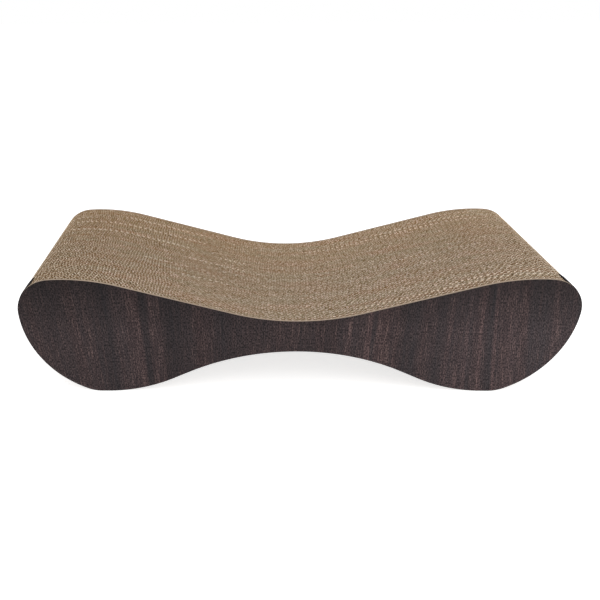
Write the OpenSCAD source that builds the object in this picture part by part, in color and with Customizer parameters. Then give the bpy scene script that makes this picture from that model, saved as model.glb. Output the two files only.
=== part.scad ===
// Wave-shaped cardboard scratching lounge for cats.
// Upright corrugated strips are glued face to face, with their flute ends open on
// the curved top and underside. A wood-look panel closes the stack at front and back.
// X runs along the lounge, +Y goes to the back, and the floor is at zero height.

/* [Lounge] */
// Overall length, nose to nose
length = 700; // [640:10:800]
// Height of the two crests above the floor
height = 165; // [155:1:185]
// Height of the hollow between the crests, where the cat lies
valley_height = 106.5; // [96:0.5:120]
// Clear height under the middle of the lounge
arch_height = 62; // [54:1:72]

/* [Upper curve] */
// Straight run on each flank between the hollow and the crest
flank_straight = 145; // [110:1:170]
// Radius over the top of a crest, on its outer side
brow_r = 220; // [180:5:280]
// Angle that the brow turns before the shoulder takes over
brow_turn = 4; // [3:0.5:6]
// Radius of the shoulder that rolls over to the end
shoulder_r = 46; // [38:1:54]

/* [Ends and feet] */
// Radius where the end rolls under to the foot
heel_r = 50; // [40:1:70]
// Angle that the end wall curves under before the heel takes over
end_turn = 66; // [58:1:72]
// Width of the flat that each foot stands on
foot_flat = 6; // [5:0.5:12]
// Straight run under each side between the foot and the arch
under_straight = 24; // [16:1:40]

/* [Corrugated core] */
// Number of strips glued together
strip_count = 50; // [40:1:50]
// Thickness of one strip
strip_t = 4.9; // [3.6:0.1:5.2]
// Distance from one flute to the next
flute_pitch = 7.3; // [6.8:0.1:9]
// Thickness of the liner behind the flutes
liner_t = 0.8; // [0.5:0.1:1.2]

/* [Side panels] */
// Thickness of the board on each side
panel_t = 3.2; // [2.5:0.1:5]
// Thickness of the wood-look facing on each board
facing_t = 0.4; // [0.3:0.1:0.8]
// How far the facing stops short of its board's edge
facing_margin = 0.5; // [0.3:0.1:1]

/* [End tabs] */
// How far a tab reaches onto the core behind the front panel
tab_w = 22; // [14:1:30]
// Thickness of a tab
tab_t = 0.5; // [0.4:0.1:0.8]
// Angle that the left tab goes up the shoulder above the nose
left_tab_angle = 53; // [40:1:70]
// Angle that the right tab goes up the shoulder above the nose
right_tab_angle = 64; // [40:1:70]
// Angle that a tab goes down the end wall below the nose
tab_down_angle = 16; // [10:1:24]

/* [Hidden] */
// Share of each S-curve's bending that its inner arc takes
valley_share = 0.54;
toe_share = 0.39;
// Largest distance between a curve and the flats that follow it
fineness = 0.25;
// How far a cutter runs past the surface that it cuts
overrun = 1;

strip_names = [for (i = [1 : strip_count]) str("core_strip_", i < 10 ? "0" : "", i)];

core_w = strip_count * strip_t;

// An S-curve from level to level: its angle on the slope for a run, a rise and a straight
function slope_angle(run, rise, straight) = 2 * atan(rise / (run + straight));
// The two radii of that S-curve added together
function bend_radii(run, angle, straight) = (run - straight * cos(angle)) / sin(angle);

// Outer side of the crest, from its top to the nose
crest_x = length / 2 - brow_r * sin(brow_turn) - shoulder_r * (1 - sin(brow_turn));
brow = [crest_x, height - brow_r];
shoulder = brow + (brow_r - shoulder_r) * [sin(brow_turn), cos(brow_turn)];
nose_height = shoulder[1];

// Inner side of the crest, down to the hollow
flank_angle = slope_angle(crest_x, height - valley_height, flank_straight);
top_radii = bend_radii(crest_x, flank_angle, flank_straight);
valley_r = valley_share * top_radii;
crest_r = top_radii - valley_r;
valley = [0, valley_height + valley_r];
crest = [crest_x, height - crest_r];

// End wall and heel, from the nose to the floor
side_r = (nose_height - heel_r * (1 - sin(end_turn))) / sin(end_turn);
side = [length / 2 - side_r, nose_height];
heel = [side[0] + (side_r - heel_r) * cos(end_turn), heel_r];
toe_x = heel[0] - foot_flat;

// Toe and arch, from the foot to the middle of the underside
under_angle = slope_angle(toe_x, arch_height, under_straight);
under_radii = bend_radii(toe_x, under_angle, under_straight);
toe_r = toe_share * under_radii;
arch_r = under_radii - toe_r;
toe = [toe_x, toe_r];
arch = [0, arch_height - arch_r];

// Points along an arc from angle a to angle b, close enough for the fineness
function arc(centre, r, a, b) =
  let (steps = ceil(abs(b - a) / (2 * acos(1 - fineness / r))))
  [for (i = [0 : steps]) centre + r * [cos(a + (b - a) * i / steps), sin(a + (b - a) * i / steps)]];

// Right half of the outline, from the hollow round the nose and foot to the arch
right_half = concat(
  arc(valley, valley_r, -90, flank_angle - 90),
  arc(crest, crest_r, flank_angle + 90, 90),
  arc(brow, brow_r, 90, 90 - brow_turn),
  arc(shoulder, shoulder_r, 90 - brow_turn, 0),
  arc(side, side_r, 0, -end_turn),
  arc(heel, heel_r, -end_turn, -90),
  arc(toe, toe_r, -90, -90 - under_angle),
  arc(arch, arch_r, 90 - under_angle, 90));
left_half = [for (i = [len(right_half) - 1 : -1 : 0]) [-right_half[i][0], right_half[i][1]]];

// Side view of the whole lounge
module outline() {
  polygon(concat(right_half, left_half));
}

// A slice of the lounge that starts at y and goes back by t
module slice(y, t) {
  translate([0, y + t, 0]) rotate([90, 0, 0]) linear_extrude(t) outline();
}

// A sheet of wood-look facing that starts at y, a little smaller than its board
module facing(y) {
  color("#3b2f2e")
    translate([0, y + facing_t, 0]) rotate([90, 0, 0]) linear_extrude(facing_t)
      offset(delta = -facing_margin) outline();
}

// Plan view of the hollow flutes in the front of one strip, at y from 0
module flutes() {
  last = ceil(length / 2 / flute_pitch);
  polygon(concat(
    [[-(last + 1) * flute_pitch, -overrun]],
    [for (i = [-last : last]) each [[(i - 0.5) * flute_pitch, 0], [i * flute_pitch, strip_t - liner_t]]],
    [[(last + 0.5) * flute_pitch, 0], [(last + 1) * flute_pitch, -overrun]]));
}

module core_strip(i) {
  y = i * strip_t - core_w / 2;
  color(i % 2 == 0 ? "#a98f6f" : "#9a8263")
    difference() {
      slice(y, strip_t);
      translate([0, y, -overrun]) linear_extrude(height + 2 * overrun) flutes();
    }
}

module front_panel() {
  color("#b59a78") slice(-core_w / 2 - panel_t, panel_t);
}

module front_facing() {
  facing(-core_w / 2 - panel_t - facing_t);
}

module back_panel() {
  color("#b59a78") slice(core_w / 2, panel_t);
}

module back_facing() {
  facing(core_w / 2 + panel_t);
}

// Tab glued over the right end of the core behind the front panel
module end_tab(up_angle) {
  low = side + (side_r - shoulder_r) * [cos(tab_down_angle), -sin(tab_down_angle)];
  color("#2e2625")
    translate([0, tab_w - core_w / 2, 0]) rotate([90, 0, 0]) linear_extrude(tab_w)
      difference() {
        polygon(concat(
          [shoulder, low],
          arc(side, side_r + tab_t, -tab_down_angle, 0),
          arc(shoulder, shoulder_r + tab_t, 0, up_angle)));
        outline();
      }
}

module front_left_end_tab() {
  mirror([1, 0, 0]) end_tab(left_tab_angle);
}

module front_right_end_tab() {
  end_tab(right_tab_angle);
}

front_panel();
front_facing();
back_panel();
back_facing();
front_left_end_tab();
front_right_end_tab();
for (i = [0 : strip_count - 1])
  core_strip(i);
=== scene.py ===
import math
import bpy
import numpy as np
from mathutils import Matrix


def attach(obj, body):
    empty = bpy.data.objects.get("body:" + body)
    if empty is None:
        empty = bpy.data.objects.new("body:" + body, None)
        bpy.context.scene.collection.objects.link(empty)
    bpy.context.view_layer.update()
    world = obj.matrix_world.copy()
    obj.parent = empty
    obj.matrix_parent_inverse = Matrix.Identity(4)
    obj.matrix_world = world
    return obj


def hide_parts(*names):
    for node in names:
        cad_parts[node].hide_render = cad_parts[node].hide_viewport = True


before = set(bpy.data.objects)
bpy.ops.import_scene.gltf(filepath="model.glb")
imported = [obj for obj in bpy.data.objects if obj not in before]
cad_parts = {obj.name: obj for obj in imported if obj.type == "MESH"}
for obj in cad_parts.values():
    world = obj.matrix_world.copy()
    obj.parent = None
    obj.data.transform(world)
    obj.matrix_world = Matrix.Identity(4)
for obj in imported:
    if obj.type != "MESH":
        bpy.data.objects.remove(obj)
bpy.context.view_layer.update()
mm = 0.001


def metres(lengths):  # from mm
    return [length * mm for length in lengths]


def srgb(text):  # hex colour as seen on screen, to the linear one that a socket takes
    channels = [int(text[i:i + 2], 16) / 255 for i in (1, 3, 5)]
    linear = [c / 12.92 if c <= 0.04045 else ((c + 0.055) / 1.055) ** 2.4 for c in channels]
    return (*linear, 1.0)


def addNode(tree, kind, settings={}, inputs=()):  # inputs by name or number, or listed in order
    node = tree.nodes.new(kind)
    for name, value in settings.items():
        setattr(node, name, value)
    if not isinstance(inputs, dict):
        inputs = dict(enumerate(inputs))
    for socket, value in inputs.items():
        if isinstance(value, bpy.types.Node):  # its first output
            value = value.outputs[0]
        if isinstance(value, bpy.types.NodeSocket):
            tree.links.new(value, node.inputs[socket])
        else:
            node.inputs[socket].default_value = value
    return node


def newMaterial(name):
    material = bpy.data.materials.new(name)
    material.use_nodes = True
    material.node_tree.nodes.clear()
    return material, material.node_tree


def addFinish(tree, colour, height, v):  # matt or satin, with small bumps
    bump = addNode(tree, "ShaderNodeBump", {}, {
        "Height": height, "Strength": v["bumpStrength"], "Distance": v["bump"] * mm})
    shader = addNode(tree, "ShaderNodeBsdfPrincipled", {}, {
        "Base Color": colour, "Roughness": v["roughness"],
        "Specular IOR Level": v["specular"], "Normal": bump})
    addNode(tree, "ShaderNodeOutputMaterial", {}, {"Surface": shader})


# Camera, at the place and angle that the photograph was taken from
camera = {
    "place": (-0.0712, -0.8039, 0.4985),
    "tilt": 61.947, "turn": 0.576, "roll": -0.316,  # degrees; tilt is up from straight down
    "focalPixels": 623.86, "framePixels": 600,  # focal length, and width of the picture
    "shift": 0.1073,
}
camData = bpy.data.cameras.new("photoCamera")
camData.sensor_width = 36
camData.lens = camera["focalPixels"] / camera["framePixels"] * camData.sensor_width
camData.shift_x = camera["shift"]
camData.clip_start = 0.01
camData.clip_end = 100
camObject = bpy.data.objects.new("photoCamera", camData)
camObject.matrix_world = (
    Matrix.Translation(camera["place"])
    @ Matrix.Rotation(math.radians(camera["turn"]), 4, "Z")
    @ Matrix.Rotation(math.radians(camera["tilt"]), 4, "X")
    @ Matrix.Rotation(math.radians(camera["roll"]), 4, "Z"))
bpy.context.scene.collection.objects.link(camObject)
bpy.context.scene.camera = camObject
print("camera set")

# Side view of the lounge, in mm: arcs and straights, the same ones as the solids have
lounge = {
    "length": 700, "height": 165, "valleyHeight": 106.5, "archHeight": 62,
    "flankStraight": 145, "browRadius": 220, "browTurn": 4, "shoulderRadius": 46,
    "heelRadius": 50, "endTurn": 66, "footFlat": 6, "underStraight": 24,
    "valleyShare": 0.54, "toeShare": 0.39,
    "pointGap": 1.5,  # mm between points of the outline
    "smoothAngle": 35,  # degrees; edges that turn more than this look sharp
}


def arcPoints(centre, radius, start, end):
    count = max(3, math.ceil(math.radians(abs(end - start)) * radius / lounge["pointGap"]))
    turn = np.radians(np.linspace(start, end, count + 1))
    return np.stack([centre[0] + radius * np.cos(turn), centre[1] + radius * np.sin(turn)], 1)


def bendOf(run, rise, straight):  # angle and both radii together of a curve from level to level
    angle = 2 * math.atan(rise / (run + straight))
    return math.degrees(angle), (run - straight * math.cos(angle)) / math.sin(angle)


def sideView(v):
    sinTurn, cosTurn = math.sin(math.radians(v["browTurn"])), math.cos(math.radians(v["browTurn"]))
    crestX = v["length"] / 2 - v["browRadius"] * sinTurn - v["shoulderRadius"] * (1 - sinTurn)
    brow = (crestX, v["height"] - v["browRadius"])
    reach = v["browRadius"] - v["shoulderRadius"]
    shoulder = (brow[0] + reach * sinTurn, brow[1] + reach * cosTurn)
    flankAngle, radii = bendOf(crestX, v["height"] - v["valleyHeight"], v["flankStraight"])
    valleyR = v["valleyShare"] * radii
    crestR = radii - valleyR
    sinEnd, cosEnd = math.sin(math.radians(v["endTurn"])), math.cos(math.radians(v["endTurn"]))
    sideR = (shoulder[1] - v["heelRadius"] * (1 - sinEnd)) / sinEnd
    side = (v["length"] / 2 - sideR, shoulder[1])
    heel = (side[0] + (sideR - v["heelRadius"]) * cosEnd, v["heelRadius"])
    toeX = heel[0] - v["footFlat"]
    underAngle, underRadii = bendOf(toeX, v["archHeight"], v["underStraight"])
    toeR = v["toeShare"] * underRadii
    archR = underRadii - toeR
    top = np.concatenate([
        arcPoints((0, v["valleyHeight"] + valleyR), valleyR, -90, flankAngle - 90),
        arcPoints((crestX, v["height"] - crestR), crestR, flankAngle + 90, 90),
        arcPoints(brow, v["browRadius"], 90, 90 - v["browTurn"])[1:],
        arcPoints(shoulder, v["shoulderRadius"], 90 - v["browTurn"], 0)[1:]])
    under = np.concatenate([
        arcPoints((0, v["archHeight"] - archR), archR, 90, 90 - underAngle),
        arcPoints((toeX, toeR), toeR, -90 - underAngle, -90),
        arcPoints(heel, v["heelRadius"], -90, -v["endTurn"]),
        arcPoints(side, sideR, -v["endTurn"], 0)[1:]])
    return top, under, {"shoulder": shoulder, "side": side, "sideRadius": sideR}


topLine, underLine, centres = sideView(lounge)
halfLength = lounge["length"] / 2


def topAt(x):
    return np.interp(np.abs(x), topLine[:, 0], topLine[:, 1])


def underAt(x):
    return np.interp(np.abs(x), underLine[:, 0], underLine[:, 1])


# The whole outline, clockwise from the middle of the hollow when seen from the front
rightHalf = np.concatenate([topLine, underLine[::-1][1:]])
outline = np.concatenate([rightHalf, (rightHalf[1:-1] * (-1, 1))[::-1]])


def shrunk(loop, margin):  # a closed outline moved inwards by a margin
    along = np.roll(loop, -1, 0) - np.roll(loop, 1, 0)
    along /= np.linalg.norm(along, axis=1, keepdims=True)
    return loop + margin * np.stack([along[:, 1], -along[:, 0]], 1)


def addPiece(name, verts, faces, material, slot, replaced):
    mesh = bpy.data.meshes.new(name)
    mesh.from_pydata((np.asarray(verts) * mm).tolist(), [], faces)
    mesh.materials.append(material)
    mesh.polygons.foreach_set("use_smooth", np.ones(len(mesh.polygons), bool))
    mesh.set_sharp_from_angle(angle=math.radians(lounge["smoothAngle"]))
    mesh.validate()
    piece = bpy.data.objects.new(name, mesh)
    bpy.context.scene.collection.objects.link(piece)
    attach(piece, "root")
    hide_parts(*replaced)
    return piece


def loft(rings):  # closed solid through rings of equal length, capped at both ends
    count = len(rings[0])
    verts = np.concatenate(rings)
    faces = []
    for r in range(len(rings) - 1):
        a, b = r * count, (r + 1) * count
        faces += [(a + i, a + (i + 1) % count, b + (i + 1) % count, b + i) for i in range(count)]
    faces.append(tuple(range(count))[::-1])
    faces.append(tuple(range(len(verts) - count, len(verts))))
    return verts, faces


def ringAt(loop, y):
    return np.stack([loop[:, 0], np.full(len(loop), y), loop[:, 1]], 1)


# What a strip's mesh tells its paper. On faces, the role: 0 liner, 1 medium, 2 and 3 their cut
# edges, 4 the front of a wave with a painted highlight; and the brightness, with painted light
# along the lounge in it. On points, the height of the cut above and of the one below, the turns
# of the wave, and how closed in the flute is
faceFacts = ("role", "tone")
pointFacts = ("rim", "foot", "flute", "closed")

# Kraft paper of the corrugated board: brown, matt, fibrous, pale along its cut edges, and
# darker down inside the flutes, where little light comes
kraft = {
    "liner": "#c1a383", "medium": "#b59776", "linerCut": "#a4886b", "mediumCut": "#eedcc2",
    "frontHighlight": "#f5e6d2",  # painted highlight on the fronts of the waves where a strip stands proud
    "warm": "#b38a70", "cool": "#a39a80", "tintShare": 0.42,
    "patchSize": (80, 13, 80),  # mm along the lounge, from front to back, and upwards
    "patchRange": (0.35, 0.65),  # cool to warm
    "fibre": 0.8,  # mm; real fibres are finer, this is as fine as the picture shows
    "fibreRange": (0.3, 0.7), "fibreTone": (0.8, 1.15),
    "shadeDepth": (0.2, 3.0), "deepShade": 0.4,  # mm below the cut, and the light left there
    "leftShade": 0.24, "rightShade": -0.25,  # share of light lost where a wave meets its liners
    "shadeChange": (-180, -80),  # mm from the middle, from the left share to the right one
    "litRange": (0.4, 1.5), "litColour": (1.35, 0.62),  # dark to bright paper, and saturation
    "backRange": (-20, 110), "backBrown": 1.14,  # mm, and gain in saturation towards the back
    "bumpStrength": 0.35, "bump": 0.15,  # mm
    "roughness": 0.85, "specular": 0.2,
}


def kraftMaterial(v):
    material, tree = newMaterial("kraftPaperCut")
    where = addNode(tree, "ShaderNodeTexCoord").outputs["Object"]
    place = addNode(tree, "ShaderNodeSeparateXYZ", {}, [where]).outputs
    fact = {}
    for name in faceFacts + pointFacts:
        fact[name] = addNode(tree, "ShaderNodeAttribute", {"attribute_name": name}).outputs["Fac"]
    # patches of warmer and cooler paper, long in the strips' direction
    patchPlace = addNode(tree, "ShaderNodeMapping", {}, {
        "Vector": where, "Scale": [1 / size for size in metres(v["patchSize"])]})
    patch = addNode(tree, "ShaderNodeTexNoise", {}, {
        "Vector": patchPlace, "Scale": 1.0, "Detail": 2.0, "Roughness": 0.55})
    warmth = addNode(tree, "ShaderNodeMapRange", {}, [patch, *v["patchRange"]])
    tint = addNode(tree, "ShaderNodeMix", {"data_type": "RGBA"}, {
        0: warmth, 6: srgb(v["cool"]), 7: srgb(v["warm"])}).outputs[2]
    paper = addNode(tree, "ShaderNodeMix", {"data_type": "RGBA"}, {
        0: fact["role"], 6: srgb(v["liner"]), 7: srgb(v["medium"])}).outputs[2]
    colour = addNode(tree, "ShaderNodeMix", {"data_type": "RGBA"}, {
        0: v["tintShare"], 6: paper, 7: tint}).outputs[2]
    # cut edges are paler, and the fronts of proud waves get a painted highlight
    for role, name in ((2, "linerCut"), (3, "mediumCut"), (4, "frontHighlight")):
        isRole = addNode(tree, "ShaderNodeMapRange", {}, [fact["role"], role - 0.8, role - 0.2])
        colour = addNode(tree, "ShaderNodeMix", {"data_type": "RGBA"}, {
            0: isRole, 6: colour, 7: srgb(v[name])}).outputs[2]
    # little light comes down inside the flutes. At the very ends of the lounge they are cut
    # open along their length, and it comes in there too
    belowRim = addNode(tree, "ShaderNodeMath", {"operation": "SUBTRACT"}, [
        fact["rim"], place["Z"]])
    aboveFoot = addNode(tree, "ShaderNodeMath", {"operation": "SUBTRACT"}, [
        place["Z"], fact["foot"]])
    inside = addNode(tree, "ShaderNodeMath", {"operation": "MINIMUM"}, [belowRim, aboveFoot])
    depth = addNode(tree, "ShaderNodeMath", {"operation": "MULTIPLY"}, [inside, fact["closed"]])
    light = addNode(tree, "ShaderNodeMapRange", {}, [
        depth, *metres(v["shadeDepth"]), 1.0, v["deepShade"]])
    # each wave makes a corner with a liner twice in its pitch
    turn = addNode(tree, "ShaderNodeMath", {"operation": "MULTIPLY"}, [
        fact["flute"], 4 * math.pi])
    flank = addNode(tree, "ShaderNodeMath", {"operation": "COSINE"}, [turn])
    lost = addNode(tree, "ShaderNodeMapRange", {}, [
        place["X"], *metres(v["shadeChange"]), v["leftShade"], v["rightShade"]])
    corner = addNode(tree, "ShaderNodeMath", {"operation": "MULTIPLY_ADD"}, [flank, lost, 1.0])
    # a front with the painted highlight gets none of the painted corner shade
    clear = addNode(tree, "ShaderNodeMix", {"data_type": "FLOAT"}, {0: isRole, 2: corner, 3: 1.0})
    lightHere = addNode(tree, "ShaderNodeMath", {"operation": "MULTIPLY"}, [light, clear])
    fibre = addNode(tree, "ShaderNodeTexNoise", {}, {
        "Vector": where, "Scale": 1 / (v["fibre"] * mm), "Detail": 3.0})
    fibreTone = addNode(tree, "ShaderNodeMapRange", {}, [
        fibre, *v["fibreRange"], *v["fibreTone"]])
    bright = addNode(tree, "ShaderNodeMath", {"operation": "MULTIPLY"}, [fibreTone, fact["tone"]])
    lit = addNode(tree, "ShaderNodeMath", {"operation": "MULTIPLY"}, [bright, lightHere])
    # light that has been from wall to wall is browner, and open paper is greyer. The strips
    # towards the back are a little browner too
    litColour = addNode(tree, "ShaderNodeMapRange", {}, [lit, *v["litRange"], *v["litColour"]])
    backColour = addNode(tree, "ShaderNodeMapRange", {}, [
        place["Y"], *metres(v["backRange"]), 1.0, v["backBrown"]])
    saturation = addNode(tree, "ShaderNodeMath", {"operation": "MULTIPLY"}, [
        litColour, backColour])
    toned = addNode(tree, "ShaderNodeHueSaturation", {}, {
        "Saturation": saturation, "Color": colour})
    shaded = addNode(tree, "ShaderNodeVectorMath", {"operation": "SCALE"}, {
        0: toned, "Scale": lit})
    addFinish(tree, shaded, fibre, v)
    return material


kraftPaper = kraftMaterial(kraft)

# Corrugated strips: each is a wavy medium between two liners, standing on edge. The paper is
# drawn thicker than its 0.25 mm, so that its cut edges show at the picture's size
strips = {
    "count": 50, "thickness": 4.9, "pitch": 7.3, "liner": 0.4, "medium": 0.5,  # mm
    "pointsPerWave": 8, "linerPoints": 180, "tips": (0.03, 0.2, 0.5, 1.0),  # mm from a nose
    # mm that the waves move along from strip to strip, at the left end and at the right, and mm
    # that a strip jumps ahead or back, with the share of it at both ends
    "drift": (0.7, -0.4), "jitter": 0.65, "jitterShare": (0.5, 1.4),
    # mm that they stray, over which mm along the lounge, and over how many strips
    "wander": 1.1, "wanderLength": (180, 520), "wanderStrips": (16, 36),
    "ownWander": 0.6, "ownLength": (60, 200),  # and in one strip alone
    "webReach": 330, "webPoints": 42,  # mm from the middle
    "uneven": 0.35, "unevenLength": (40, 260),  # mm between high and low places of a cut edge
    "ragged": 0.15,  # mm from point to point of it
    "underShift": 77,  # mm, so that the underside is uneven in other places than the top
    "thin": 12, "nearFloor": 3,  # mm of height, where the cut gets even towards tips and floor
    "openEnd": 2,  # mm from a nose in which the flutes are cut open
    # of a proud strip: how sharply its waves' fronts stand out, the share that its liners do,
    # mm from which a front gets the painted highlight, and mm over which the row rises and sinks
    # at its ends
    "frontSharpness": 1.5, "linerLift": 0.15, "highlightLift": 0.25, "rowFade": 9,
    "stripTone": 0.04, "grainTone": 0.13, "sheetTone": 0.06,  # spread of brightness
    "grainCount": 800,
    "alongLight": (0.88, 0.93, 0.99, 1.05, 1.085, 1.05, 1.06),  # painted light: brightness from left to right
    "seed": 3666,
    # strips that stand proud: mm from the back, mm along the top from the left nose, height,
    # and how bright the painted highlight on the fronts of their waves is
    "proudRows": [
        (26, 125, 257, 1.8, 1.05), (37, 45, 90, 1.6, 0.95), (54, 50, 260, 2.2, 1.0),
        (85, 50, 242, 2.0, 1.0), (93, 277, 325, 1.5, 1.05), (119, 225, 322, 1.5, 1.05),
        (149, 165, 240, 1.2, 1.0), (175, 225, 300, 1.3, 1.05), (18, 566, 679, 1.4, 1.0),
        (28.5, 507, 667, 1.6, 1.0), (39, 405, 680, 1.7, 1.05), (128, 510, 587, 1.2, 1.05),
        (157, 550, 605, 1.1, 1.0), (182.5, 552, 570, 1.2, 1.0), (211, 500, 515, 1.5, 1.05),
        (227, 571, 695, 1.7, 1.2), (236, 460, 697, 2.0, 1.15)],
}
coreHalf = strips["count"] * strips["thickness"] / 2

# The top from nose to nose, with the mm along it
halfAlong = np.concatenate([[0], np.cumsum(np.hypot(*np.diff(topLine, axis=0).T))])
topAlong = np.concatenate([(halfAlong[-1] - halfAlong)[::-1], halfAlong[-1] + halfAlong[1:]])
topX = np.concatenate([-topLine[::-1, 0], topLine[1:, 0]])


def paperSheet(xs, ys, thickness, tops, bottoms):  # a closed sheet that stands along a path
    slope = np.gradient(ys, xs)
    length = np.hypot(1, slope)
    nx, ny = -slope / length * thickness / 2, 1 / length * thickness / 2
    front = np.stack([xs - nx, ys - ny], 1)
    back = np.stack([xs + nx, ys + ny], 1)
    columns = [np.column_stack([side, z]) for side in (front, back) for z in (bottoms, tops)]
    first = np.arange(len(xs) - 1)[:, None] * 4
    last = (len(xs) - 1) * 4
    # its front, back, top and underside, and then its two ends
    faces = [first + corners for corners in (
        (0, 4, 5, 1), (6, 2, 3, 7), (1, 5, 7, 3), (4, 0, 2, 6))]
    faces.append([[2, 0, 1, 3], [last, last + 2, last + 3, last + 1]])
    return np.stack(columns, 1).reshape(-1, 3), np.concatenate(faces)


def addSheet(strip, sheet, ofFaces, ofColumns):  # with its facts; four points make a column
    verts, faces = sheet
    strip["faces"] += (faces + len(strip["verts"])).tolist()
    strip["verts"] += verts.tolist()
    for name, values in ofFaces.items():
        strip[name] += list(values)
    for name, values in ofColumns.items():
        strip[name] += np.repeat(values, 4).tolist()


def proudness(v, xs, front):  # how far the strip at this place stands proud, and how bright its painted highlight is
    s = np.interp(xs, topX, topAlong)
    halfWidth = coreHalf + board["thickness"] + wenge["thickness"]
    lift, tone = np.zeros(len(xs)), 1.0
    for depth, start, end, amount, highlightTone in v["proudRows"]:
        if front <= halfWidth - depth < front + v["thickness"]:
            rise = np.clip((s - start) / v["rowFade"], 0, 1)
            fall = np.clip((end - s) / v["rowFade"], 0, 1)
            lift = np.maximum(lift, amount * (rise * fall))
            tone = highlightTone
    return lift, tone


def buildStrips(v):
    random = np.random.default_rng(v["seed"])
    swing = v["thickness"] / 2 - v["liner"] - v["medium"] / 2
    wanders = [(random.uniform(*v["wanderLength"]), sign * random.uniform(*v["wanderStrips"]),
                random.uniform(0, 2 * math.pi)) for sign in (1, -1, 1, -1)]
    ends = (-halfLength, halfLength)
    tips = halfLength - np.array(v["tips"])
    inner = tips[-1]
    waveX = np.arange(-inner + 0.3, inner - 0.3, v["pitch"] / v["pointsPerWave"])
    waveX = np.concatenate([-tips, waveX, tips[::-1]])
    flatX = np.linspace(-inner + 1, inner - 1, v["linerPoints"])
    flatX = np.concatenate([-tips, flatX, tips[::-1]])
    webX = np.linspace(-v["webReach"], v["webReach"], v["webPoints"])
    lightX = np.linspace(*ends, len(v["alongLight"]))
    noise = np.zeros(v["grainCount"])
    for i in range(v["count"]):
        front = i * v["thickness"] - coreHalf
        middle = front + v["thickness"] / 2
        jitter = random.normal(0, v["jitter"])
        ownLength, ownStart = random.uniform(*v["ownLength"]), random.uniform(0, 2 * math.pi)
        waves = random.uniform(0, 2 * math.pi, 4)
        lengths = random.uniform(*v["unevenLength"], 4)
        stripTone = random.normal(1, v["stripTone"])
        # light and dark alternate, along a strip and from strip to strip
        noise, before = random.normal(0, v["grainTone"], v["grainCount"]), noise
        grain = 1 + noise - (np.roll(noise, 1) + before) / 2

        def phaseAt(xs):  # neighbouring strips' flutes nearly line up, so streaks run across
            strays = sum(np.sin(2 * math.pi * (xs / l + i / n) + w) for l, n, w in wanders)
            own = v["ownWander"] * np.sin(2 * math.pi * xs / ownLength + ownStart)
            late = jitter * np.interp(xs, ends, v["jitterShare"])
            lean = np.interp(xs, ends, v["drift"]) * (i - v["count"] / 2)
            return lean + late + own + v["wander"] * strays

        def uneven(xs):  # from the full cut down
            total = sum(np.sin(2 * math.pi * xs / l + w) for l, w in zip(lengths, waves))
            return v["uneven"] * (total / 8 - 0.5)

        waveY = middle + swing * np.sin(2 * math.pi * (waveX - phaseAt(waveX)) / v["pitch"])
        frontY = np.full(len(flatX), front + v["liner"] / 2)
        backY = np.full(len(flatX), front + v["thickness"] - v["liner"] / 2)
        strip = {name: [] for name in ("verts", "faces", *faceFacts, *pointFacts)}
        for xs, ys, thickness, role in (
                (flatX, frontY, v["liner"], 0), (waveX, waveY, v["medium"], 1),
                (flatX, backY, v["liner"], 0)):
            low, level = underAt(xs), topAt(xs)
            cut = uneven(xs) + random.normal(0, v["ragged"], len(xs)) * (0.5 + 0.5 * role)
            room = np.minimum(1, (level - low) / v["thin"])
            # a proud strip shows the fronts of its waves, and a little of its liners
            frontness = v["linerLift"]
            if role:
                frontness = np.clip((middle - ys) / swing, 0, 1) ** v["frontSharpness"]
            lift, highlightTone = proudness(v, xs, front)
            lift = lift * frontness * room
            tops = level + np.minimum(cut, 0) * room + lift
            underCut = np.minimum(uneven(xs + v["underShift"]), 0) * room
            bottoms = low - underCut * np.clip(low / v["nearFloor"], 0, 1)
            turns = (xs - phaseAt(xs)) / v["pitch"]
            quarter = np.floor(4 * turns[:-1]).astype(int) % v["grainCount"]
            base = stripTone * grain[quarter] * random.normal(1, v["sheetTone"], len(quarter))
            # painted light along the lounge, brighter towards the right
            base = base * np.interp(xs[:-1], lightX, v["alongLight"])
            wall = np.full(len(base), role)
            # fronts of waves that stand proud get a painted highlight
            frontHighlight = (lift[:-1] > v["highlightLift"]) & (role == 1)
            edge = np.where(frontHighlight, 4, 2 + role)
            addSheet(strip, paperSheet(xs, ys, thickness, tops, bottoms), {
                "role": np.concatenate([np.where(frontHighlight, 4, role), wall, edge, edge, [role] * 2]),
                "tone": np.concatenate([
                    np.where(frontHighlight, highlightTone, base), base, base, base, [1.0] * 2])}, {
                "rim": (tops - lift) * mm, "foot": bottoms * mm, "flute": turns,
                "closed": np.clip((halfLength - np.abs(xs)) / v["openEnd"], 0, 1)})
        # painted shade: half way down, a thin web that the real board doesn't have keeps the pale
        # floor from shining up through the flutes, so that they look dark
        high, low = topAt(webX), underAt(webX)
        halfWay = (high + low) / 2
        web = paperSheet(webX, np.full(len(webX), middle), v["thickness"] - v["liner"],
                         halfWay + v["liner"] / 2, halfWay - v["liner"] / 2)
        addSheet(strip, web, {"role": [1] * len(web[1]), "tone": [1.0] * len(web[1])}, {
            "rim": high * mm, "foot": low * mm,
            "flute": np.zeros(len(webX)), "closed": np.ones(len(webX))})
        piece = addPiece("coreStrip%02d" % (i + 1), strip["verts"], strip["faces"], kraftPaper,
                         "corrugated_board", ["core_strip_%02d" % (i + 1)])
        for names, domain in ((faceFacts, "FACE"), (pointFacts, "POINT")):
            for name in names:
                data = piece.data.attributes.new(name, "FLOAT", domain)
                data.data.foreach_set("value", np.array(strip[name], float))


# Side boards: medium-density fibreboard, sanded faces and a pale sawn edge with dark flecks
board = {
    "thickness": 3.2, "roundness": 0.25,  # mm
    "edge": "#a59381", "fleck": "#8c7966", "fleckRange": (0.45, 0.75), "grit": 0.6,  # mm
    "bumpStrength": 0.3, "bump": 0.1,  # mm
    "roughness": 0.8, "specular": 0.3,
}


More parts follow.
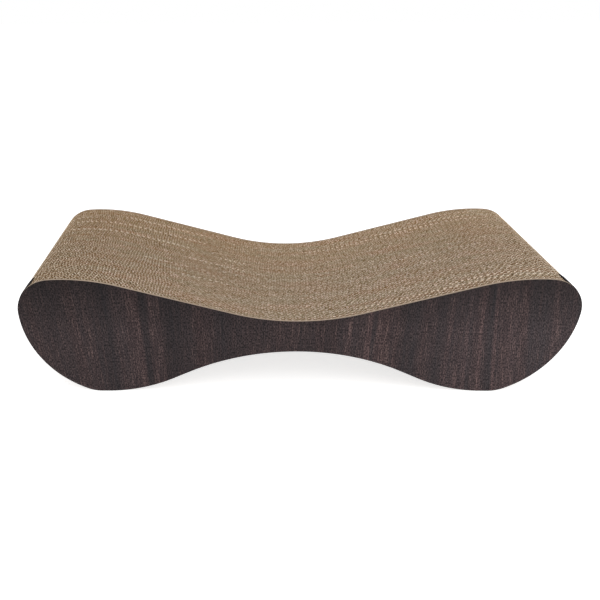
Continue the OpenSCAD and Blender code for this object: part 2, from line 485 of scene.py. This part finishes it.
def boardMaterial(v):
    material, tree = newMaterial("fibreboardSawnEdge")
    where = addNode(tree, "ShaderNodeTexCoord").outputs["Object"]
    fleck = addNode(tree, "ShaderNodeTexNoise", {}, {
        "Vector": where, "Scale": 1 / (v["grit"] * mm), "Detail": 4.0, "Roughness": 0.6})
    share = addNode(tree, "ShaderNodeMapRange", {}, [fleck, *v["fleckRange"]])
    colour = addNode(tree, "ShaderNodeMix", {"data_type": "RGBA"}, {
        0: share, 6: srgb(v["edge"]), 7: srgb(v["fleck"])}).outputs[2]
    addFinish(tree, colour, fleck, v)
    return material


sideBoard = boardMaterial(board)

# Facing: wenge-look laminate paper, near-black brown with fine upright grain, satin. Painted
# shade makes it darker towards the top, and painted light makes it lighter towards the right,
# where it is redder too
wenge = {
    "thickness": 0.4, "rim": 0.9, "roundness": 0.15,  # mm
    "dark": "#393436", "brown": "#463838", "line": "#7a6460", "speck": "#0c0a0c",
    "bandSize": (12, 400), "lineSize": (0.9, 38), "speckSize": (1.2, 2.8),  # mm wide and tall
    "bandGrain": 0.6, "bandRange": (1.15, 1.5),  # unevenness of the bands, and dark to brown
    "lineRange": (0.5, 0.72), "lineShare": (0.15, 0.85),  # shares in dark and in brown bands
    "speckRange": (0.36, 0.64), "speckShare": 0.88,
    # where the grain starts to lean and where it leans most, in mm from the middle, the height
    # that it leans about, and the mm that it moves left for each mm that it climbs
    "leans": [(0, -300, 0, 0.07), (180, 250, 75, 0.14)],
    "waver": 4, "waverSize": 200,  # mm that the grain wavers, and over which length
    # painted light from left to right, and painted shade towards the top over these mm of height
    "leftLight": 1.36, "rightLight": 2.0, "topShade": 0.42, "topShadeRange": (90, 165),  # mm
    # broad shades of the print: mm from the middle, width, blur of their edges, and tone
    "shades": [(-60, 230, 40, 0.78), (88, 120, 30, 0.9), (150, 80, 20, 0.9)],
    # bands of the grain, in the same way; the light ones are browner and full of fine lines
    "bands": [
        (-285, 18, 6, 1.04), (-262, 24, 6, 1.06), (-236, 12, 3, 0.93), (-209, 32, 2, 1.1),
        (-187, 8, 3, 0.86), (-173, 14, 2, 1.12), (-156, 12, 4, 0.95), (-120, 40, 20, 1.06),
        (66, 10, 3, 1.1), (93, 7, 2, 1.28), (116, 27, 2, 1.12), (196, 5, 2, 1.08),
        (218, 6, 2, 1.14), (236, 5, 2, 1.2), (246, 7, 2, 0.93), (254, 4, 2, 1.2),
        (276, 10, 3, 1.1), (328, 7, 3, 1.08)],
    "bumpStrength": 0.3, "bump": -0.05,  # mm
    "roughness": 0.5, "specular": 0.1,
}


def toneOf(tree, along, parts):  # tones of all the shades or bands multiplied together
    tone = 1.0
    for middle, width, blur, share in parts:
        offset = addNode(tree, "ShaderNodeMath", {"operation": "SUBTRACT"}, [along, middle * mm])
        away = addNode(tree, "ShaderNodeMath", {"operation": "ABSOLUTE"}, [offset])
        part = addNode(tree, "ShaderNodeMapRange", {"interpolation_type": "SMOOTHSTEP"}, [
            away, (width - blur) / 2 * mm, (width + blur) / 2 * mm, share, 1.0])
        tone = addNode(tree, "ShaderNodeMath", {"operation": "MULTIPLY"}, [tone, part])
    return tone


def wengeMaterial(v):
    material, tree = newMaterial("wengeLookLaminate")
    where = addNode(tree, "ShaderNodeTexCoord").outputs["Object"]
    place = addNode(tree, "ShaderNodeSeparateXYZ", {}, [where]).outputs
    # the grain leans at both ends, and wavers slightly as it climbs
    along = place["X"]
    for start, most, pivot, lean in v["leans"]:
        leanHere = addNode(tree, "ShaderNodeMapRange", {}, [
            place["X"], start * mm, most * mm, 0.0, lean])
        climb = addNode(tree, "ShaderNodeMath", {"operation": "SUBTRACT"}, [
            place["Z"], pivot * mm])
        along = addNode(tree, "ShaderNodeMath", {"operation": "MULTIPLY_ADD"}, [
            leanHere, climb, along])
    waver = addNode(tree, "ShaderNodeTexNoise", {}, {
        "Vector": where, "Scale": 1 / (v["waverSize"] * mm), "Detail": 1.0})
    along = addNode(tree, "ShaderNodeMath", {"operation": "MULTIPLY_ADD"}, [
        waver, v["waver"] * mm, along])
    grainPlace = addNode(tree, "ShaderNodeCombineXYZ", {}, [along, place["Y"], place["Z"]])
    grain = {}
    for part, detail in (("band", 3.0), ("line", 2.0), ("speck", 1.0)):
        wide, tall = metres(v[part + "Size"])
        stretched = addNode(tree, "ShaderNodeMapping", {}, {
            "Vector": grainPlace, "Scale": (1 / wide, 1 / wide, 1 / tall)})
        grain[part] = addNode(tree, "ShaderNodeTexNoise", {}, {
            "Vector": stretched, "Scale": 1.0, "Detail": detail})
    bandTone = toneOf(tree, along, v["bands"])
    bandHere = addNode(tree, "ShaderNodeMath", {"operation": "MULTIPLY_ADD"}, [
        grain["band"], v["bandGrain"], bandTone])
    brownHere = addNode(tree, "ShaderNodeMapRange", {}, [bandHere, *v["bandRange"]])
    ground = addNode(tree, "ShaderNodeMix", {"data_type": "RGBA"}, {
        0: brownHere, 6: srgb(v["dark"]), 7: srgb(v["brown"])}).outputs[2]
    # lines of open grain are drawn in the brown bands, and faintly in the dark ones
    mostLines = addNode(tree, "ShaderNodeMapRange", {}, [brownHere, 0.0, 1.0, *v["lineShare"]])
    lineHere = addNode(tree, "ShaderNodeMapRange", {}, [
        grain["line"], *v["lineRange"], 0.0, mostLines])
    lined = addNode(tree, "ShaderNodeMix", {"data_type": "RGBA"}, {
        0: lineHere, 6: ground, 7: srgb(v["line"])}).outputs[2]
    speckHere = addNode(tree, "ShaderNodeMapRange", {}, [
        grain["speck"], *v["speckRange"], 0.0, v["speckShare"]])
    printed = addNode(tree, "ShaderNodeMix", {"data_type": "RGBA"}, {
        0: speckHere, 6: lined, 7: srgb(v["speck"])}).outputs[2]
    # tone: painted light along the lounge, painted shade up its height, and the print's shades
    # and bands
    tone = addNode(tree, "ShaderNodeMapRange", {}, [
        along, -halfLength * mm, halfLength * mm, v["leftLight"], v["rightLight"]])
    shadeHere = addNode(tree, "ShaderNodeMapRange", {}, [
        place["Z"], *metres(v["topShadeRange"]), 1.0, v["topShade"]])
    for part in (shadeHere, toneOf(tree, along, v["shades"]), bandTone):
        tone = addNode(tree, "ShaderNodeMath", {"operation": "MULTIPLY"}, [tone, part])
    colour = addNode(tree, "ShaderNodeVectorMath", {"operation": "SCALE"}, {
        0: printed, "Scale": tone})
    addFinish(tree, colour, grain["speck"], v)
    return material


wengeLaminate = wengeMaterial(wenge)

buildStrips(strips)
print("corrugated strips built")

for end, side in (("front", -1), ("back", 1)):
    inner, outer = coreHalf, coreHalf + board["thickness"]
    face = outer + wenge["thickness"]
    r, s = board["roundness"], wenge["roundness"]
    rings = [ringAt(shrunk(outline, margin), side * y) for margin, y in (
        (r, inner), (0, inner + r), (0, outer - r), (0, outer))]
    skin = [ringAt(shrunk(outline, margin), side * y) for margin, y in (
        (0, outer), (0, face - s), (s / 3, face - s / 3), (s, face), (wenge["rim"], face))]
    if side > 0:  # rings go the other way round, so that faces look outwards
        rings, skin = [ring[::-1] for ring in rings], [ring[::-1] for ring in skin]
    addPiece(end + "Board", *loft(rings), sideBoard, "side_board", [end + "_panel"])
    addPiece(end + "Facing", *loft(skin), wengeLaminate, "wood_look_facing", [end + "_facing"])
print("side boards and facings built")

# End tabs: black paper tape, matt and slightly fibrous, glued over each end of the core
# behind the front board
tab = {
    "width": 22, "thickness": 0.5,  # mm
    "downAngle": 16, "upAngle": {"left": 55, "right": 66},  # degrees from the nose
    "black": "#0d0a0c", "grey": "#1b1618", "fibre": 1.2,  # mm
    "bumpStrength": 0.3, "bump": 0.08,  # mm
    "roughness": 0.85, "specular": 0.05,
}


def tapeMaterial(v):
    material, tree = newMaterial("blackPaperTape")
    where = addNode(tree, "ShaderNodeTexCoord").outputs["Object"]
    fibre = addNode(tree, "ShaderNodeTexNoise", {}, {
        "Vector": where, "Scale": 1 / (v["fibre"] * mm), "Detail": 3.0})
    colour = addNode(tree, "ShaderNodeMix", {"data_type": "RGBA"}, {
        0: fibre, 6: srgb(v["black"]), 7: srgb(v["grey"])}).outputs[2]
    addFinish(tree, colour, fibre, v)
    return material


blackTape = tapeMaterial(tab)


def endTab(v, name, side):
    path = np.concatenate([
        arcPoints(centres["shoulder"], lounge["shoulderRadius"], v["upAngle"][name], 0),
        arcPoints(centres["side"], centres["sideRadius"], 0, -v["downAngle"])[1:]])
    along = np.gradient(path, axis=0)
    along /= np.linalg.norm(along, axis=1, keepdims=True)
    outer = path + v["thickness"] * np.stack([-along[:, 1], along[:, 0]], 1)
    loop = np.concatenate([outer, path[::-1]]) * (side, 1)
    rings = [ringAt(loop, y) for y in (-coreHalf, v["width"] - coreHalf)]
    if side < 0:  # mirrored rings run the other way round
        rings = rings[::-1]
    addPiece(name + "EndTab", *loft(rings), blackTape, "end_tab", ["front_%s_end_tab" % name])


for name, side in (("left", -1), ("right", 1)):
    endTab(tab, name, side)
print("end tabs built")

# Studio: the floor and the world look white in the picture, the floor keeps the lounge's
# shadow, and two softboxes give a plain light
studio = {
    "floor": "#e6e6e6", "floorReach": 6, "lift": 0.72, "world": 0.7,  # m from the middle
    "softboxes": [  # place, width in m, and watts
        ("keySoftbox", (0.1, -0.5, 1.6), 1.6, 9.0), ("fillSoftbox", (1.2, -1.0, 1.1), 1.2, 3.0)],
    "aim": (0, 0, 0.1),
}


def seenDirectly(tree):  # by the camera, in a reflection, or through something clear
    path = addNode(tree, "ShaderNodeLightPath").outputs
    seen = addNode(tree, "ShaderNodeMath", {"operation": "MAXIMUM"}, [
        path["Is Camera Ray"], path["Is Glossy Ray"]])
    return addNode(tree, "ShaderNodeMath", {"operation": "MAXIMUM"}, [
        seen, path["Is Transmission Ray"]])


def floorMaterial(v):  # a plain pale sheet; where it is seen, a glow lifts it to white
    material, tree = newMaterial("paleStudioFloor")
    plain = addNode(tree, "ShaderNodeBsdfDiffuse", {}, {"Color": srgb(v["floor"])})
    glow = addNode(tree, "ShaderNodeEmission", {}, {"Strength": v["lift"]})
    both = addNode(tree, "ShaderNodeAddShader", {}, [plain, glow])
    mixed = addNode(tree, "ShaderNodeMixShader", {}, [seenDirectly(tree), plain, both])
    addNode(tree, "ShaderNodeOutputMaterial", {}, {"Surface": mixed})
    return material


far = studio["floorReach"]
floorData = bpy.data.meshes.new("studioFloor")
floorData.from_pydata(
    [(-far, -far, 0), (far, -far, 0), (far, far, 0), (-far, far, 0)], [], [(0, 1, 2, 3)])
floorData.materials.append(floorMaterial(studio))
floor = bpy.data.objects.new("studioFloor", floorData)
bpy.context.scene.collection.objects.link(floor)

world = bpy.data.worlds.new("softStudio")
world.use_nodes = True
tree = world.node_tree
tree.nodes.clear()
soft = addNode(tree, "ShaderNodeBackground", {}, [srgb("#ffffff"), studio["world"]])
white = addNode(tree, "ShaderNodeBackground", {}, [srgb("#ffffff"), 1.0])
mixed = addNode(tree, "ShaderNodeMixShader", {}, [seenDirectly(tree), soft, white])
addNode(tree, "ShaderNodeOutputWorld", {}, {"Surface": mixed})
bpy.context.scene.world = world

for name, place, width, watts in studio["softboxes"]:
    lamp = bpy.data.lights.new(name, "AREA")
    lamp.size = width
    lamp.energy = watts
    lampObject = bpy.data.objects.new(name, lamp)
    lampObject.location = place
    x, y, z = np.array(studio["aim"]) - np.array(place)
    lampObject.rotation_euler = (math.atan2(math.hypot(x, y), -z), 0, math.atan2(-x, y))
    bpy.context.scene.collection.objects.link(lampObject)
bpy.context.scene.view_settings.view_transform = "Standard"
print("studio set")
